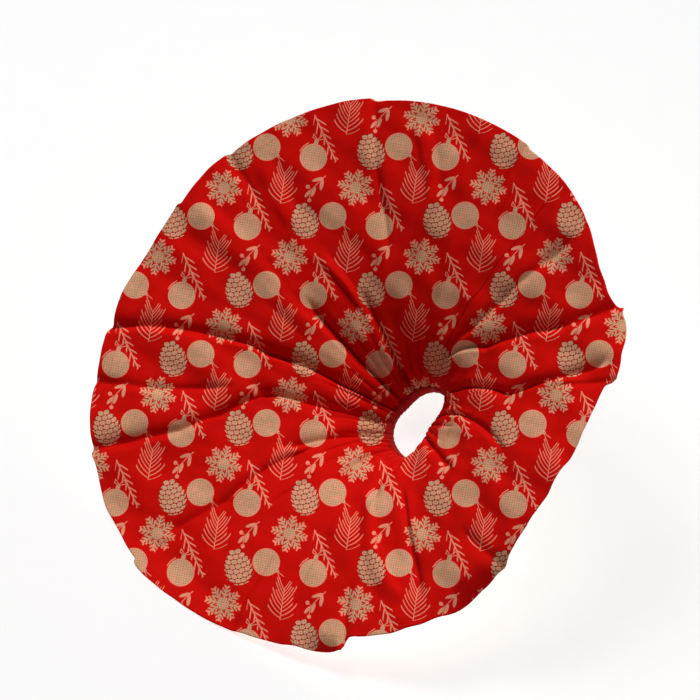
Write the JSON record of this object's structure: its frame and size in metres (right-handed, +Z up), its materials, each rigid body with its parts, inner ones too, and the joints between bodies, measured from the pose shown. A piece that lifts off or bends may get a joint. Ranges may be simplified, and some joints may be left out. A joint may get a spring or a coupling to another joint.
{
  "type": "tree skirt",
  "caption": "Round lined cloth skirt for the foot of a Christmas tree, gathered into a trumpet, with a slit, a fold-back flap and a neck tab.",
  "frame": {"origin": "on the floor, under the middle of the bounding box", "axes": "+Z up; the skirt lies on the end of its neck and the low side of its rim, its mouth leaning towards -X and -Y"},
  "size_m": [0.9398, 0.9714, 0.5409],
  "materials": {
    "printed_cloth": "matt printed plain weave",
    "felt_lining": "needled felt",
    "binding_tape": "matt woven tape",
    "placket_cloth": "matt plain weave",
    "hook_tape": "woven tape with plastic hooks",
    "loop_tape": "woven tape with brushed loops",
    "label_satin": "woven satin"
  },
  "bodies": {
    "skirt": {"face_cloth": "printed_cloth", "rim_hem": "printed_cloth", "lining_cloth": "felt_lining", "neck_binding": "binding_tape", "placket": "placket_cloth", "placket_seam": "placket_cloth", "neck_tab_anchor": "placket_cloth", "loop_tape_1": "loop_tape", "loop_tape_2": "loop_tape", "loop_tape_3": "loop_tape", "neck_loop_patch": "loop_tape", "care_label": "label_satin"},
    "flap": {"flap_face_cloth": "printed_cloth", "flap_lining_cloth": "felt_lining", "flap_hem": "printed_cloth", "flap_slit_seam": "placket_cloth", "hook_tape_1": "hook_tape", "hook_tape_2": "hook_tape", "hook_tape_3": "hook_tape"},
    "tab": {"neck_tab": "placket_cloth", "neck_tab_hooks": "hook_tape"}
  },
  "joints": [
    {"name": "slit_flap_fold", "type": "hinge", "parent": "skirt", "child": "flap", "pos_m": [0.14107, 0.08341, 0.22525], "axis": [0.1134, -0.7607, -0.6391], "range_deg": [0, 120]},
    {"name": "neck_tab_hinge", "type": "hinge", "parent": "skirt", "child": "tab", "pos_m": [0.16368, 0.11075, 0.09989], "axis": [-0.0855, -0.1397, 0.9865], "range_deg": [0, 120]}
  ]
}
